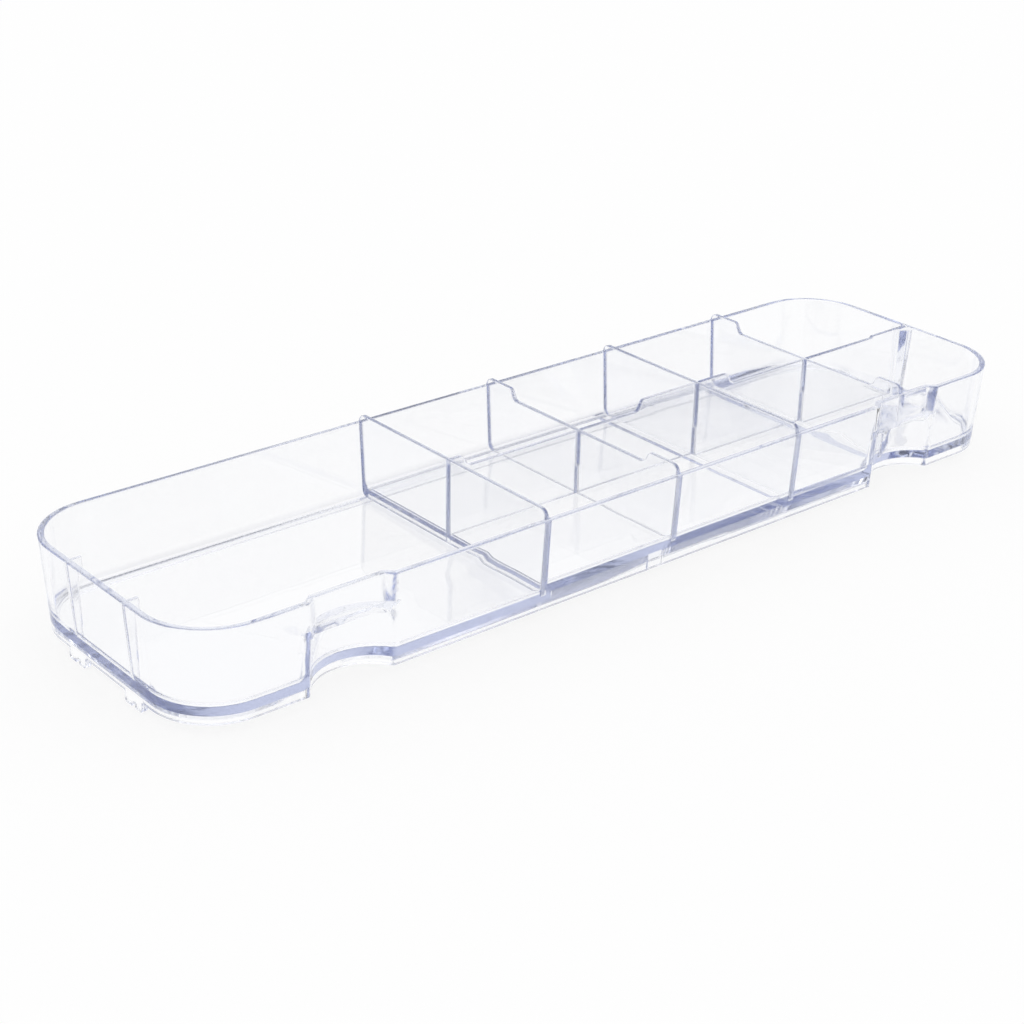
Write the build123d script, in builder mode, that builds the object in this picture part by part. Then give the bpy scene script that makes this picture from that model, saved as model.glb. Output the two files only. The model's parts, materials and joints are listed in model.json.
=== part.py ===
"""Clear organizer tray: a long shallow moulded tub, parted into compartments by lift-out dividers.

X runs along the tub, with the long open compartment at -X. Y runs from the front wall, which has two
finger recesses, to the plain back wall. Z is up, from the plane on which the stacking tabs stand.
Lengths are millimetres and angles are degrees.
"""
import os
from math import radians, tan

from build123d import *

# Tub
tray_length = 340
tray_width = 96.4
corner_radius = 22.5
wall = 2
wall_draft = 3.5
cavity_depth = 25.7
floor_thickness = 2.2
floor_fillet = 3
rim_round = 0.4

# How far the floor of the first and second pairs of small compartments, and of the third, is raised
middle_floor_rise = 2.6
third_floor_rise = 1.5

# Skirt below the floor, with a small pad inside it just right of the middle of the front
skirt_depth = 2.3
skirt_wall = 1.8
pad_width = 6
pad_place = 1.2
pad_thickness = 0.8

# Finger recesses of the front wall: a shallow flat above a ledge, a deep round scoop below it
recess_from_end = 54.5
recess_flat = 23.6
recess_depth = 2.5
recess_side_run = 3
recess_round = 1.2
ledge_below_rim = 11.5
ledge_shoulder = 0.6
scoop_radius = 16.2
scoop_depth = 10.5
scoop_top_depth = 7.4
crease_round = 1.5
inner_crease_round = 3.5

# Stacking tabs under the ends, and the two ribs of the left end that match the notches in its tabs
tab_drop = 3.5
tab_width = 9.6
tab_corner = 1.2
notch_height = 1.2
rib_spacing = 31.4
rib_thickness = 1.2
rib_reach = 3.5
rib_below_rim = 0.5

# Socket on the right end wall that holds the end of the long divider
socket_reach = 4.4
socket_base = 9
socket_tip = 3.8

# Dividers: ears are the raised stretches of a top line that dips between them
divider_thickness = 1.6
divider_pitch = 53.35
fourth_from_end = 55
divider_rise = 3
divider_dip = 0.8
corner_round = 2.8
cross_ear = 12.3
curve_run = 2.2
curve_round = 1.7
edge_break = 0.3
first_ear = 5.1
ear_before_third = 25.5
ear_after_third = 14.2
end_pad_length = 18
end_pad_below_rim = 0.2
end_step_run = 0.6

# Fits
groove_depth = 1
groove_gap = 0.25
end_gap = 0.25
seat_gap = 0.1
lap_gap = 0.3
first_groove_depth = 0.5
notch_gap = 0.3
overrun = 5

# Levels and places that follow from the sizes above
skirt_z = tab_drop
floor_z = skirt_z + skirt_depth
floor_top = floor_z + floor_thickness
rim_z = floor_top + cavity_depth
above_z = rim_z + overrun
ledge_z = rim_z - ledge_below_rim
high_z = rim_z + divider_rise
low_z = rim_z - divider_dip
seat_z = floor_top + seat_gap
lap_z = (seat_z + low_z) / 2
half_length = tray_length / 2
half_width = tray_width / 2
half_thickness = divider_thickness / 2
slot_width = divider_thickness + 2 * groove_gap
draft = tan(radians(wall_draft))
recess_offset = half_length - recess_from_end
recess_slope = recess_side_run / recess_depth
fourth_x = half_length - fourth_from_end
first_x, second_x, third_x = [fourth_x - n * divider_pitch for n in (3, 2, 1)]
middle_floor = floor_top + middle_floor_rise
third_floor = floor_top + third_floor_rise
first_riser = first_x + slot_width / 2
third_riser = third_x - slot_width / 2
fourth_riser = fourth_x - slot_width / 2


def inset(z):
    """How far a drafted wall lies inside its place at the rim, at height z."""
    return (rim_z - z) * draft


ledge_half = recess_flat / 2 + recess_slope * (recess_depth - inset(ledge_z))
scoop_top_rise = scoop_top_depth - inset(ledge_z)
scoop_top_radius = ((ledge_half + ledge_shoulder) ** 2 / scoop_top_rise + scoop_top_rise) / 2


def scoop_at(z):
    """How far a scoop reaches behind the rim of the front wall at height z, and its radius there."""
    share = (z - skirt_z) / (ledge_z - skirt_z)
    depth = scoop_depth + share * (scoop_top_depth - scoop_depth)
    return depth, scoop_radius + share * (scoop_top_radius - scoop_radius)


def finger_recess(growth):
    """A finger recess about X = 0, grown by the thickness of the wall that lines it."""
    mouth = recess_flat / 2 + recess_slope * (recess_depth + overrun)
    with BuildPart() as recess:
        for z in (skirt_z - overrun, ledge_z + growth):
            depth, radius = scoop_at(z)
            with BuildSketch(Plane.XY.offset(z)):
                with Locations((0, depth - radius - half_width)):
                    Circle(radius + growth)
        loft()
        with BuildSketch(Plane.XY.offset(ledge_z)):
            with BuildLine():
                Polyline(
                    (-mouth, -half_width - overrun),
                    (-recess_flat / 2, -half_width + recess_depth),
                    (recess_flat / 2, -half_width + recess_depth),
                    (mouth, -half_width - overrun),
                    close=True,
                )
            make_face()
            if growth:
                offset(amount=growth, kind=Kind.INTERSECTION)
        extrude(amount=above_z - ledge_z)
    return recess.part


def plain_front(floor, gap, foot_gap, reach_z):
    """Front end of a plain cross divider as (y, z) points from its foot up, clear of its groove."""
    end_y = half_width - wall + groove_depth - gap
    foot_z = floor + foot_gap
    return [(inset(foot_z) - end_y, foot_z), (inset(reach_z) - end_y, reach_z)]


def stepped_front(floor, gap, foot_gap, reach_z):
    """Front end of the cross divider that meets a finger recess, stepped over the ledge there."""
    flat_y = gap - half_width + recess_depth + wall - groove_depth
    scoop_y = gap - half_width + wall - groove_depth
    foot_z = floor + foot_gap
    step_z = ledge_z + wall + foot_gap
    return [
        (scoop_y + scoop_at(foot_z)[0], foot_z),
        (scoop_y + scoop_at(step_z)[0], step_z),
        (flat_y, step_z),
        (flat_y, reach_z),
    ]


def plain_back(floor, gap, foot_gap, reach_z):
    """Back end of a cross divider as (y, z) points from its top down, clear of its groove."""
    return [(-y, z) for y, z in reversed(plain_front(floor, gap, foot_gap, reach_z))]


def cross_groove(place, floor, front):
    """The room that a cross divider needs in the walls, open at the rim."""
    with BuildPart() as groove:
        with BuildSketch(Plane.YZ.offset(place)):
            with BuildLine():
                Polyline(*front(floor, 0, 0, above_z), *plain_back(floor, 0, 0, above_z), close=True)
            make_face()
        extrude(amount=slot_width / 2, both=True)
    return groove.part


def top_edges(plate):
    """The edges along both sides of a divider's top."""
    upper = plate.edges().filter_by(lambda edge: edge.bounding_box().min.Z > (lap_z + low_z) / 2)
    sides = plate.faces().sort_by(SortBy.AREA)[-2:]
    return ShapeList(edge for edge in upper if edge in sides[0].edges() or edge in sides[1].edges())


def cross_plate(place, floor, front, dipped):
    """A cross divider without its joints: ends that fit the grooves, and a straight or a dipped top."""
    ear_y = half_width - wall - cross_ear
    dip_y = ear_y - curve_run
    top = [(-ear_y, high_z), (-dip_y, low_z), (dip_y, low_z), (ear_y, high_z)] if dipped else []
    ends = [end(floor, end_gap, seat_gap, high_z) for end in (front, plain_back)]
    with BuildPart() as plate:
        with BuildSketch(Plane.YZ.offset(place)) as outline:
            with BuildLine():
                Polyline(*ends[0], *top, *ends[1], close=True)
            make_face()
            corners = outline.vertices().group_by(Axis.Y)[-1].sort_by(Axis.X)
            fillet([corners[0], corners[-1]], corner_round)
            if dipped:
                inner = outline.vertices().filter_by_position(Axis.X, -ear_y - curve_run, ear_y + curve_run)
                fillet(inner.filter_by_position(Axis.Y, low_z - curve_run, high_z + curve_run), curve_round)
        extrude(amount=half_thickness, both=True)
        chamfer(top_edges(plate), edge_break)
    return plate.part


def rising_edges(body):
    """The rising edges of the finger recesses in a body, as groups from the lowest up."""
    rising = body.edges().filter_by(lambda edge: edge.bounding_box().size.Z > ledge_below_rim / 2)
    near = rising.filter_by(lambda edge: abs(abs(edge.center().X) - recess_offset) < scoop_radius + wall)
    return near.group_by(Axis.Z)


def cavity(floor, left_x, right_x):
    """The hollow between the walls and round the recess linings, over one floor and from one X to another."""
    with BuildPart() as room:
        with BuildSketch(Plane.XY.offset(above_z)):
            RectangleRounded(
                tray_length - 2 * (wall + inset(above_z)),
                tray_width - 2 * (wall + inset(above_z)),
                corner_radius - wall - inset(above_z),
            )
        extrude(amount=above_z - floor, dir=(0, 0, -1), taper=wall_draft)
        with Locations((-recess_offset, 0), (recess_offset, 0)):
            add(finger_recess(wall), mode=Mode.SUBTRACT)
        fillet(rising_edges(room)[0], inner_crease_round)
        fillet(room.faces().sort_by(Axis.Z)[0].edges(), floor_fillet)
        with BuildSketch(Plane.XY.offset(floor_z)):
            with Locations(((left_x + right_x) / 2, 0)):
                Rectangle(right_x - left_x, tray_width)
        extrude(amount=above_z - floor_z, mode=Mode.INTERSECT)
    return room.part


# Outside of the tub: drafted walls with rounded corners, and the recesses cut into the front
with BuildPart() as hull:
    with BuildSketch(Plane.XY.offset(rim_z)):
        RectangleRounded(tray_length, tray_width, corner_radius)
    extrude(amount=rim_z - skirt_z, dir=(0, 0, -1), taper=wall_draft)
    with Locations((-recess_offset, 0), (recess_offset, 0)):
        add(finger_recess(0), mode=Mode.SUBTRACT)
    fillet(rising_edges(hull)[-1], recess_round)
    fillet(rising_edges(hull)[0], crease_round)

# Inside of the tub: the hollow over floors of three levels, less the two ribs and the divider socket
with BuildPart() as hollow:
    add(cavity(floor_top, -tray_length, first_riser))
    add(cavity(middle_floor, first_riser, third_riser))
    add(cavity(third_floor, third_riser, fourth_riser))
    add(cavity(floor_top, fourth_riser, tray_length))
    with BuildSketch(Plane.XY.offset(floor_z)):
        with Locations((-half_length, -rib_spacing / 2), (-half_length, rib_spacing / 2)):
            Rectangle(2 * (wall + rib_reach), rib_thickness)
    extrude(amount=rim_z - rib_below_rim - floor_z, mode=Mode.SUBTRACT)
    with BuildSketch(Plane.XY.offset(floor_z)):
        with BuildLine():
            Polyline(
                (half_length - wall - socket_reach, -socket_tip / 2),
                (half_length - wall, -socket_base / 2),
                (half_length + overrun, -socket_base / 2),
                (half_length + overrun, socket_base / 2),
                (half_length - wall, socket_base / 2),
                (half_length - wall - socket_reach, socket_tip / 2),
                close=True,
            )
        make_face()
    extrude(amount=rim_z - rib_below_rim - floor_z, mode=Mode.SUBTRACT)

# Space inside the skirt, up to the undersides of the floors, with the pad left standing in it
with BuildPart() as underside:
    skirt_inset = inset(skirt_z) + skirt_wall
    for rise, left_x, right_x in (
        (0, -half_length, half_length),
        (middle_floor_rise, first_riser + floor_thickness, third_riser - floor_thickness),
        (third_floor_rise, third_riser - overrun, fourth_riser - floor_thickness),
    ):
        with BuildSketch(Plane.XY.offset(skirt_z - overrun)):
            RectangleRounded(
                tray_length - 2 * skirt_inset,
                tray_width - 2 * skirt_inset,
                corner_radius - skirt_inset,
            )
            with Locations((pad_place, skirt_inset - half_width)):
                Rectangle(pad_width, 2 * pad_thickness, mode=Mode.SUBTRACT)
            with Locations(((left_x + right_x) / 2, 0)):
                Rectangle(right_x - left_x, tray_width, mode=Mode.INTERSECT)
        extrude(amount=floor_z + rise - skirt_z + overrun)
    with Locations((-recess_offset, 0), (recess_offset, 0)):
        add(finger_recess(skirt_wall), mode=Mode.SUBTRACT)

# Tray: the tub on its stacking tabs, with grooves for the dividers
with BuildPart() as tray:
    add(hull.part)
    add(hollow.part, mode=Mode.SUBTRACT)
    add(underside.part, mode=Mode.SUBTRACT)
    fillet(tray.faces().sort_by(Axis.Z)[-1].edges(), rim_round)
    with BuildSketch(Plane.YZ.offset(inset(skirt_z) - half_length)) as left_tabs:
        with Locations((-rib_spacing / 2, floor_z / 2), (rib_spacing / 2, floor_z / 2)):
            Rectangle(tab_width, floor_z)
        fillet(left_tabs.vertices().group_by(Axis.Y)[0], tab_corner)
        with Locations((-rib_spacing / 2, 0), (rib_spacing / 2, 0)):
            Rectangle(rib_thickness + 2 * notch_gap, 2 * notch_height, mode=Mode.SUBTRACT)
    extrude(amount=skirt_wall)
    with BuildSketch(Plane.YZ.offset(half_length - inset(skirt_z))) as right_tab:
        with Locations((0, floor_z / 2)):
            Rectangle(tab_width, floor_z)
        fillet(right_tab.vertices().group_by(Axis.Y)[0], tab_corner)
    extrude(amount=-skirt_wall)
    for place, floor in ((first_x, floor_top), (second_x, middle_floor), (third_x, third_floor)):
        add(cross_groove(place, floor, plain_front), mode=Mode.SUBTRACT)
    add(cross_groove(fourth_x, floor_top, stepped_front), mode=Mode.SUBTRACT)
    with BuildSketch(Plane.XZ):
        with BuildLine():
            Polyline(
                (fourth_x, floor_top),
                (half_length - wall + groove_depth - inset(floor_top), floor_top),
                (half_length - wall + groove_depth - inset(above_z), above_z),
                (fourth_x, above_z),
                close=True,
            )
        make_face()
    extrude(amount=slot_width / 2, both=True, mode=Mode.SUBTRACT)
tray.part.label = "tray"

# First cross divider: straight top, and a groove in its right face for the end of the long divider
with BuildPart() as cross_divider_1:
    add(cross_plate(first_x, floor_top, plain_front, False))
    with BuildSketch(Plane.XY.offset(seat_z)):
        with Locations((first_x + half_thickness, 0)):
            Rectangle(2 * first_groove_depth, slot_width)
    extrude(amount=above_z - seat_z, mode=Mode.SUBTRACT)
cross_divider_1.part.label = "cross_divider_1"

# Slots that let the other cross dividers down over the long divider
with BuildPart() as lap_slots:
    with BuildSketch(Plane.XY.offset(seat_z)):
        with Locations((second_x, 0), (third_x, 0), (fourth_x, 0)):
            Rectangle(divider_pitch / 2, slot_width)
    extrude(amount=lap_z + lap_gap - seat_z)

# Second cross divider: dipped top
with BuildPart() as cross_divider_2:
    add(cross_plate(second_x, middle_floor, plain_front, True))
    add(lap_slots.part, mode=Mode.SUBTRACT)
cross_divider_2.part.label = "cross_divider_2"

# Third cross divider: straight top
with BuildPart() as cross_divider_3:
    add(cross_plate(third_x, third_floor, plain_front, False))
    add(lap_slots.part, mode=Mode.SUBTRACT)
cross_divider_3.part.label = "cross_divider_3"

# Fourth cross divider: dipped top, and a front end stepped over the ledge of the finger recess
with BuildPart() as cross_divider_4:
    add(cross_plate(fourth_x, floor_top, stepped_front, True))
    add(lap_slots.part, mode=Mode.SUBTRACT)
cross_divider_4.part.label = "cross_divider_4"

# Long divider: from the first cross divider to the socket, with slots from above at the other three
with BuildPart() as long_divider:
    left_x = first_x + half_thickness - first_groove_depth + end_gap
    right_x = half_length - wall + groove_depth - end_gap
    pad_x = half_length - wall - end_pad_length
    pad_z = rim_z - end_pad_below_rim
    with BuildSketch(Plane.XZ) as long_outline:
        with BuildLine():
            Polyline(
                (third_riser + end_gap, third_floor + seat_gap),
                (third_riser + end_gap, middle_floor + seat_gap),
                (left_x, middle_floor + seat_gap),
                (left_x, high_z),
                (first_x + first_ear, high_z),
                (first_x + first_ear + curve_run, low_z),
                (third_x - ear_before_third - curve_run, low_z),
                (third_x - ear_before_third, high_z),
                (third_x + ear_after_third, high_z),
                (third_x + ear_after_third + curve_run, low_z),
                (pad_x, low_z),
                (pad_x + end_step_run, pad_z),
                (right_x - inset(pad_z), pad_z),
                (right_x - inset(seat_z), seat_z),
                (fourth_riser + end_gap, seat_z),
                (fourth_riser + end_gap, third_floor + seat_gap),
                close=True,
            )
        make_face()
        bends = long_outline.vertices().filter_by_position(Axis.X, left_x + half_thickness, pad_x - overrun)
        fillet(bends.filter_by_position(Axis.Y, low_z - curve_run, high_z + curve_run), curve_round)
    extrude(amount=half_thickness, both=True)
    chamfer(top_edges(long_divider), edge_break)
    with BuildSketch(Plane.XY.offset(lap_z)):
        with Locations((second_x, 0), (third_x, 0), (fourth_x, 0)):
            Rectangle(slot_width, 2 * divider_thickness)
    extrude(amount=above_z - lap_z, mode=Mode.SUBTRACT)
long_divider.part.label = "long_divider"

os.makedirs("parts", exist_ok=True)
export_step(tray.part, "parts/tray.step")
export_step(cross_divider_1.part, "parts/cross_divider_1.step")
export_step(cross_divider_2.part, "parts/cross_divider_2.step")
export_step(cross_divider_3.part, "parts/cross_divider_3.step")
export_step(cross_divider_4.part, "parts/cross_divider_4.step")
export_step(long_divider.part, "parts/long_divider.step")
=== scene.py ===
"""Looks of a clear divided organizer tray, laid out as a Blender add-on and run as a script.

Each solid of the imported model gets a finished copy: merged and smooth, in clear moulded plastic that softens its
edges. A white studio stands around them. Lengths are metres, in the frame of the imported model.
"""
import json
import math

import bpy
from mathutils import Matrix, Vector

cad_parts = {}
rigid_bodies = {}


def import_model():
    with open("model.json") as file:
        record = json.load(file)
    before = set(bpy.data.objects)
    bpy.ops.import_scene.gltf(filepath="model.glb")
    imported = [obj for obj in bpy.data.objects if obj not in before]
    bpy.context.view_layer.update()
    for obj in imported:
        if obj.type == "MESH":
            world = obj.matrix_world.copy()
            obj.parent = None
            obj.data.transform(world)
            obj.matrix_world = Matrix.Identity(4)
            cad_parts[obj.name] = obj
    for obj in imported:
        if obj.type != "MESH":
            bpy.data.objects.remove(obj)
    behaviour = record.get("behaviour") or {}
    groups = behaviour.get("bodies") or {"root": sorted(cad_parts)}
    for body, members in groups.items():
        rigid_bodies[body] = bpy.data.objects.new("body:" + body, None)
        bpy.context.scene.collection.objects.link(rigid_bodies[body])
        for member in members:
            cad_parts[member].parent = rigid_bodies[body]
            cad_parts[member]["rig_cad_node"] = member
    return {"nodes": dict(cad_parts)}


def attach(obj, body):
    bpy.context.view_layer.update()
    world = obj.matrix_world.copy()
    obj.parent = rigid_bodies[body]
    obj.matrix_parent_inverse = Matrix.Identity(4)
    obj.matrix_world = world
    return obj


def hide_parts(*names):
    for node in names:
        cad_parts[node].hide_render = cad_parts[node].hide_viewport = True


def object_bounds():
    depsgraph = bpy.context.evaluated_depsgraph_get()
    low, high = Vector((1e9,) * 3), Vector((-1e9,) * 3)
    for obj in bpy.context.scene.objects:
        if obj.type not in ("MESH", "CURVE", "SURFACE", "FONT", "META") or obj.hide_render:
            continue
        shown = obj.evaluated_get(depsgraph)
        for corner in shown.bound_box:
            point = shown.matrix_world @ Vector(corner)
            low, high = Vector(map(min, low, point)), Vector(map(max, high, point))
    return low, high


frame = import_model()
cad_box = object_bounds()

bl_info = {
    "name": "Clear organizer tray",
    "version": (1, 0, 0),
    "blender": (4, 5, 0),
    "location": "3D View > Sidebar > Tray",
    "description": "Finishes the tray and its dividers in clear plastic and sets up a white studio",
    "category": "Object",
}

PLASTIC_SLOT = "clear_plastic"
CROSS_DIVIDERS = ("cross_divider_1", "cross_divider_2", "cross_divider_3", "cross_divider_4")
WHITE = (1, 1, 1, 1)

# Clean-up of the copies
MERGE_DISTANCE = 1e-6
FLAT_ANGLE = math.radians(0.2)
SMOOTH_ANGLE = math.radians(32)
LARGEST_FACE_WEIGHT = 100

# Detail of the plastic: noise scales are per metre, and pairs are where a smooth step starts and ends
FLOW_SCALE = 60
GRAIN_SCALE = 1400
SCUFF_SCALE = 900
SCUFF_STEP = (0.5, 0.68)
HAIR_STRETCH = (35, 1500, 1500)
HAIR_WIDTH = 0.012
HAIR_PATCH_SCALE = 45
HAIR_PATCH_STEP = (0.48, 0.62)
NOISE_MIDDLE = 0.5
BUMP_DEPTH = 0.001
EDGE_PROBES = 4
EDGE_TURN_STEP = (0.85, 0.99)

# Heights between which wear grows towards the rim, and fades above the feet
TOP_STEP = (0.0322, 0.0335)
FOOT_STEP = (0.0004, 0.0022)

# Studio: steps of the height of a direction, and of its turn towards the backdrop or away from it
CARD_FOOT_STEP = (0.04, 0.16)
CARD_HEAD_STEP = (0.7, 0.88)
CARD_END_STEP = (0.35, 0.75)
LAMP_STEP = (0.86, 0.93)
LEVEL_PART = (1, 1, 0)
BACKDROP_WAY = (0.637, 0.771, 0)
FLOOR_GAP = 0.00003
SENSOR_WIDTH = 36
NEAREST_SEEN = 0.01


class PlasticSettings(bpy.types.PropertyGroup):
    """Clear moulded plastic"""

    tint: bpy.props.FloatVectorProperty(
        name="Tint", description="Colour of a thin wall", subtype="COLOR", size=3,
        default=(0.996, 0.997, 1.0), min=0, max=1)
    depth_tint: bpy.props.FloatVectorProperty(
        name="Depth tint", description="Colour that a long path through the plastic takes on",
        subtype="COLOR", size=3, default=(0.36, 0.44, 0.74), min=0, max=1)
    depth_density: bpy.props.FloatProperty(
        name="Depth density", description="How fast the depth tint grows with the path, per metre",
        default=9.5, min=0)
    ior: bpy.props.FloatProperty(name="IOR", description="Index of refraction", default=1.57, min=1, max=2)
    polish: bpy.props.FloatProperty(
        name="Polish roughness", description="Roughness of the moulded surface", default=0.02, min=0, max=1)
    edge_round: bpy.props.FloatProperty(
        name="Edge round", description="Radius to which the edges are softened", subtype="DISTANCE",
        default=0.0008, min=0)
    haze: bpy.props.FloatProperty(
        name="Haze", description="Roughness that the fine grain of the mould adds", default=0.015, min=0, max=1)
    flow: bpy.props.FloatProperty(
        name="Flow waves", description="Strength of the slow waves that the cooling plastic leaves",
        default=0.04, min=0, max=1)
    scuffs: bpy.props.FloatProperty(
        name="Scuffs", description="Roughness of the wear on the edges, the rim and the feet",
        default=0.07, min=0, max=1)
    scuff_color: bpy.props.FloatVectorProperty(
        name="Scuff colour", description="Colour of the worn spots", subtype="COLOR", size=3,
        default=(0.965, 0.97, 0.985), min=0, max=1)
    hairlines: bpy.props.FloatProperty(
        name="Hairlines", description="Roughness of the fine scratches along the tray",
        default=0.08, min=0, max=1)


class StageSettings(bpy.types.PropertyGroup):
    """White studio and camera"""

    floor_span: bpy.props.FloatProperty(
        name="Floor span", description="Side of the square floor", subtype="DISTANCE", default=6, min=1)
    floor_color: bpy.props.FloatVectorProperty(
        name="Floor colour", description="Colour of the floor where light falls on it", subtype="COLOR", size=3,
        default=(0.95, 0.95, 0.95), min=0, max=1)
    floor_glow: bpy.props.FloatProperty(
        name="Floor white", subtype="FACTOR", default=0.85, min=0, max=1,
        description="Share of plain white in the floor as it is seen; the rest shows the shadow")
    dome_level: bpy.props.FloatProperty(
        name="Dome level", description="Strength of the soft light from all round", default=1.0, min=0)
    lamp_level: bpy.props.FloatProperty(
        name="Lamp level", description="Brightness of the overhead lamp as polished edges mirror it",
        default=2, min=1)
    card_color: bpy.props.FloatVectorProperty(
        name="Card colour", description="Colour of the dark cards that draw the edges of clear plastic",
        subtype="COLOR", size=3, default=(0.03, 0.04, 0.09), min=0, max=1)
    light_bounces: bpy.props.IntProperty(
        name="Light bounces", description="How many surfaces a ray may pass inside the plastic",
        default=96, min=8)
    camera_place: bpy.props.FloatVectorProperty(
        name="Camera place", description="Where the camera stands", subtype="XYZ", unit="LENGTH", size=3,
        default=(-0.40890, -0.46387, 0.29556))
    camera_turn: bpy.props.FloatVectorProperty(
        name="Camera turn", description="Camera rotation", subtype="EULER", size=3,
        default=(math.radians(64.8479), math.radians(-0.9220), math.radians(-39.5957)))
    lens: bpy.props.FloatProperty(
        name="Lens", description="Focal length on a 36 mm sensor, in millimetres", default=73.106, min=1)


class Signal:
    """A shader socket that adds Math nodes when it is used in an expression."""

    def __init__(self, maker, socket):
        self.maker = maker
        self.socket = socket

    def math(self, operation, first, second):
        return self.maker.node("ShaderNodeMath", {"operation": operation}, {0: first, 1: second})

    def __add__(self, other):
        return self.math("ADD", self, other)

    def __radd__(self, other):
        return self.math("ADD", other, self)

    def __sub__(self, other):
        return self.math("SUBTRACT", self, other)

    def __rsub__(self, other):
        return self.math("SUBTRACT", other, self)

    def __mul__(self, other):
        return self.math("MULTIPLY", self, other)

    def __rmul__(self, other):
        return self.math("MULTIPLY", other, self)

    def __abs__(self):
        return self.maker.node("ShaderNodeMath", {"operation": "ABSOLUTE"}, {0: self})

    def ramp(self, start, end):
        """0 below start, 1 above end and a smooth step between them."""
        return self.maker.node(
            "ShaderNodeMapRange", {"interpolation_type": "SMOOTHSTEP"},
            {"Value": self, "From Min": start, "From Max": end})


class NodeMaker:
    """Adds nodes to one node tree."""

    def __init__(self, tree):
        self.tree = tree
        tree.nodes.clear()

    def node(self, kind, settings=None, inputs=None, output=0):
        """A new node with its settings made first, then the values or links of its sockets."""
        made = self.tree.nodes.new(kind)
        for key, value in (settings or {}).items():
            setattr(made, key, value)
        for key, value in (inputs or {}).items():
            if isinstance(value, Signal):
                self.tree.links.new(value.socket, made.inputs[key])
            else:
                made.inputs[key].default_value = value
        return Signal(self, made.outputs[output]) if made.outputs else None

    def noise(self, place, scale, detail):
        return self.node("ShaderNodeTexNoise", None, {"Vector": place, "Scale": scale, "Detail": detail})

    def vector(self, operation, first, second, output=0):
        return self.node("ShaderNodeVectorMath", {"operation": operation}, {0: first, 1: second}, output)

    def light_path(self, *rays):
        return [self.node("ShaderNodeLightPath", output=f"Is {ray} Ray") for ray in rays]

    def mix_shaders(self, share, first, second):
        return self.node("ShaderNodeMixShader", None, {0: share, 1: first, 2: second})

    def mix_colors(self, share, first, second):
        """The colour sockets of a Mix node stand behind those of the other types, so they go by number."""
        return self.node("ShaderNodeMix", {"data_type": "RGBA"}, {"Factor": share, 6: first, 7: second}, 2)


def finished_copy(node, name):
    """A merged, smooth-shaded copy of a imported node, riding on that node's body in its place."""
    bpy.ops.object.select_all(action="DESELECT")
    source = frame["nodes"][node]
    source.select_set(True)
    bpy.context.view_layer.objects.active = source
    bpy.ops.object.duplicate()
    piece = bpy.context.view_layer.objects.active
    piece.name = name
    piece.data.name = name
    piece.parent = None
    del piece["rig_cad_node"]
    bpy.ops.object.mode_set(mode="EDIT")
    bpy.ops.mesh.select_all(action="SELECT")
    bpy.ops.mesh.remove_doubles(threshold=MERGE_DISTANCE)
    bpy.ops.mesh.dissolve_limited(angle_limit=FLAT_ANGLE, use_dissolve_boundaries=False)
    bpy.ops.object.mode_set(mode="OBJECT")
    bpy.ops.object.shade_smooth_by_angle(angle=SMOOTH_ANGLE)
    bpy.ops.object.modifier_add(type="WEIGHTED_NORMAL")
    weighted = piece.modifiers[-1]
    weighted.mode = "FACE_AREA"
    weighted.weight = LARGEST_FACE_WEIGHT
    weighted.keep_sharp = True
    bpy.ops.object.modifier_apply(modifier=weighted.name)
    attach(piece, node)
    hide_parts(node)
    return piece


def clear_plastic(settings):
    """Clear plastic: a tint that grows with the light's path, slow waves, hairline scratches and worn edges."""
    name = PLASTIC_SLOT + "_finish"
    material = bpy.data.materials.get(name) or bpy.data.materials.new(name)
    material.use_nodes = True
    make = NodeMaker(material.node_tree)
    place = make.node("ShaderNodeTexCoord", output="Object")
    height = make.node("ShaderNodeSeparateXYZ", None, {0: place}, "Z")
    flow = make.noise(place, FLOW_SCALE, detail=1)
    grain = make.noise(place, GRAIN_SCALE, detail=2)
    rubbed = make.noise(place, SCUFF_SCALE, detail=4)
    patches = make.noise(place, HAIR_PATCH_SCALE, detail=1)
    drawn = make.noise(make.vector("MULTIPLY", place, HAIR_STRETCH), scale=1, detail=0)
    rounded = make.node("ShaderNodeBevel", {"samples": EDGE_PROBES}, {"Radius": settings.edge_round})
    straight = make.node("ShaderNodeNewGeometry", output="Normal")

    # Wear sits along the edges and where hands, the table and a tray above touch; fine scratches lie in patches.
    edges = 1 - make.vector("DOT_PRODUCT", rounded, straight, "Value").ramp(*EDGE_TURN_STEP)
    touched = height.ramp(*TOP_STEP) + 1 - height.ramp(*FOOT_STEP)
    worn = (edges + touched) * rubbed.ramp(*SCUFF_STEP)
    hairs = (1 - abs(drawn - NOISE_MIDDLE).ramp(0, HAIR_WIDTH)) * patches.ramp(*HAIR_PATCH_STEP)
    roughness = settings.polish + settings.haze * grain + settings.scuffs * worn + settings.hairlines * hairs
    color = make.mix_colors(worn, (*settings.tint, 1), (*settings.scuff_color, 1))
    bump = make.node("ShaderNodeBump", None, {
        "Strength": settings.flow, "Distance": BUMP_DEPTH, "Height": flow, "Normal": rounded})
    surface = make.node("ShaderNodeBsdfPrincipled", None, {
        "Base Color": color, "Roughness": roughness, "IOR": settings.ior, "Transmission Weight": 1, "Normal": bump})
    depth = make.node("ShaderNodeVolumeAbsorption", None, {
        "Color": (*settings.depth_tint, 1), "Density": settings.depth_density})
    make.node("ShaderNodeOutputMaterial", None, {"Surface": surface, "Volume": depth})
    return material


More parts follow.
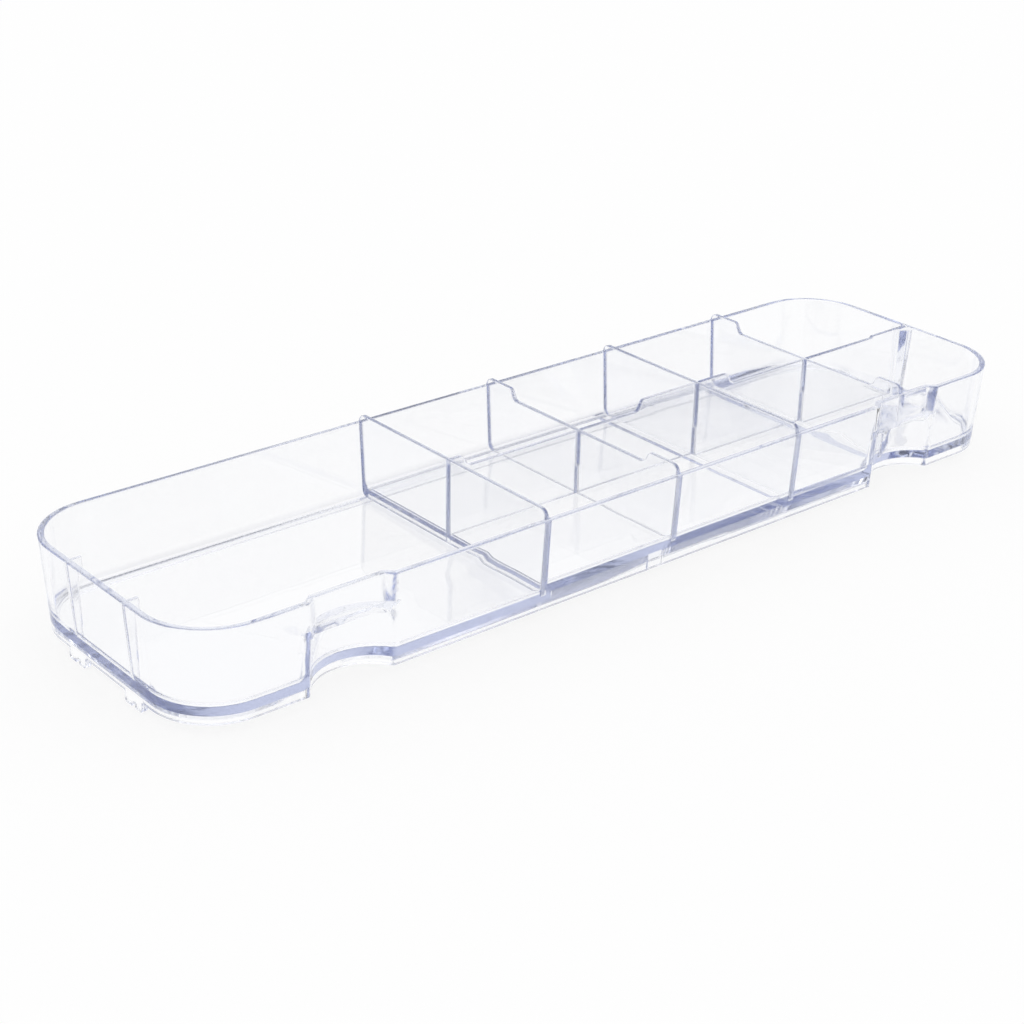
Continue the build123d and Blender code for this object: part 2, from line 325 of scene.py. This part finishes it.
def floor_white(settings):
    """White to the eye and in clear plastic, with a share that takes the shadow."""
    material = bpy.data.materials.new("floor_white")
    material.use_nodes = True
    make = NodeMaker(material.node_tree)
    seen, glossy, passed = make.light_path("Camera", "Glossy", "Transmission")
    plain = make.node("ShaderNodeBsdfDiffuse", None, {"Color": (*settings.floor_color, 1)})
    white = make.node("ShaderNodeEmission", None, {"Strength": 1})
    shown = make.mix_shaders(settings.floor_glow * (seen + glossy + passed), plain, white)
    make.node("ShaderNodeOutputMaterial", None, {"Surface": shown})
    return material


def studio_world(settings):
    """Soft light all round; clear plastic also mirrors and bends dark side cards and an overhead lamp."""
    world = bpy.data.worlds.new("studio")
    world.use_nodes = True
    make = NodeMaker(world.node_tree)
    seen, glossy, passed = make.light_path("Camera", "Glossy", "Transmission")
    way = make.node("ShaderNodeTexCoord", output="Generated")
    height = make.node("ShaderNodeSeparateXYZ", None, {0: way}, "Z")
    level = make.vector("MULTIPLY", way, LEVEL_PART)
    level = make.node("ShaderNodeVectorMath", {"operation": "NORMALIZE"}, {0: level})
    back = make.vector("DOT_PRODUCT", level, BACKDROP_WAY, "Value")
    cards = (height.ramp(*CARD_FOOT_STEP) - height.ramp(*CARD_HEAD_STEP)) * (1 - abs(back).ramp(*CARD_END_STEP))
    lit, white, dark, lamp = (
        make.node("ShaderNodeBackground", None, {"Color": color, "Strength": strength})
        for color, strength in ((WHITE, settings.dome_level), (WHITE, 1), ((*settings.card_color, 1), 1),
                                (WHITE, settings.lamp_level)))
    carded = make.mix_shaders(cards * (glossy + passed), white, dark)
    lamped = make.mix_shaders(height.ramp(*LAMP_STEP) * (glossy + passed), carded, lamp)
    shown = make.mix_shaders(seen + glossy + passed, lit, lamped)
    make.node("ShaderNodeOutputWorld", None, {"Surface": shown})
    return world


def dress(piece, material):
    """Gives a piece this material alone."""
    piece.data.materials.clear()
    piece.data.materials.append(material)


class TRAY_OT_tub(bpy.types.Operator):
    """Finish the moulded tub"""

    bl_idname = "tray.tub"
    bl_label = "Tub"

    def execute(self, context):
        dress(finished_copy("tray", "tub"), clear_plastic(context.scene.tray_plastic))
        return {"FINISHED"}


class TRAY_OT_long_divider(bpy.types.Operator):
    """Finish the long divider"""

    bl_idname = "tray.long_divider"
    bl_label = "Long divider"

    def execute(self, context):
        dress(finished_copy("long_divider", "long_plate"), clear_plastic(context.scene.tray_plastic))
        return {"FINISHED"}


class TRAY_OT_cross_dividers(bpy.types.Operator):
    """Finish the cross dividers"""

    bl_idname = "tray.cross_dividers"
    bl_label = "Cross dividers"

    def execute(self, context):
        material = clear_plastic(context.scene.tray_plastic)
        for number, node in enumerate(CROSS_DIVIDERS, 1):
            dress(finished_copy(node, f"cross_plate_{number}"), material)
        return {"FINISHED"}


class TRAY_OT_stage(bpy.types.Operator):
    """Set up the floor, the light and the camera"""

    bl_idname = "tray.stage"
    bl_label = "Studio"

    def execute(self, context):
        settings = context.scene.tray_stage
        bpy.ops.object.select_all(action="DESELECT")
        bpy.ops.mesh.primitive_plane_add(size=settings.floor_span, location=(0, 0, cad_box[0].z - FLOOR_GAP))
        floor = context.active_object
        floor.name = "floor"
        dress(floor, floor_white(settings))
        context.scene.world = studio_world(settings)

        bpy.ops.object.camera_add(location=settings.camera_place, rotation=settings.camera_turn)
        camera = context.active_object
        camera.name = "photo_camera"
        camera.data.sensor_width = SENSOR_WIDTH
        camera.data.lens = settings.lens
        camera.data.clip_start = NEAREST_SEEN
        context.scene.camera = camera
        context.scene.view_settings.view_transform = "Standard"
        for kind in ("max", "transmission", "glossy"):
            setattr(context.scene.cycles, kind + "_bounces", settings.light_bounces)
        return {"FINISHED"}


class TRAY_PT_panel(bpy.types.Panel):
    """Lists the steps that finish the tray"""

    bl_idname = "TRAY_PT_panel"
    bl_label = "Organizer tray"
    bl_space_type = "VIEW_3D"
    bl_region_type = "UI"
    bl_category = "Tray"

    def draw(self, context):
        for operator in OPERATORS:
            self.layout.operator(operator.bl_idname)
        for group in (context.scene.tray_plastic, context.scene.tray_stage):
            box = self.layout.box()
            for name in group.__annotations__:
                box.prop(group, name)


OPERATORS = (TRAY_OT_tub, TRAY_OT_long_divider, TRAY_OT_cross_dividers, TRAY_OT_stage)
CLASSES = (PlasticSettings, StageSettings, *OPERATORS, TRAY_PT_panel)


def register():
    for item in CLASSES:
        bpy.utils.register_class(item)
    bpy.types.Scene.tray_plastic = bpy.props.PointerProperty(type=PlasticSettings)
    bpy.types.Scene.tray_stage = bpy.props.PointerProperty(type=StageSettings)


def unregister():
    del bpy.types.Scene.tray_stage
    del bpy.types.Scene.tray_plastic
    for item in reversed(CLASSES):
        bpy.utils.unregister_class(item)


def main():
    register()
    bpy.ops.tray.tub()
    bpy.ops.tray.long_divider()
    bpy.ops.tray.cross_dividers()
    bpy.ops.tray.stage()


if __name__ == "__main__":
    main()
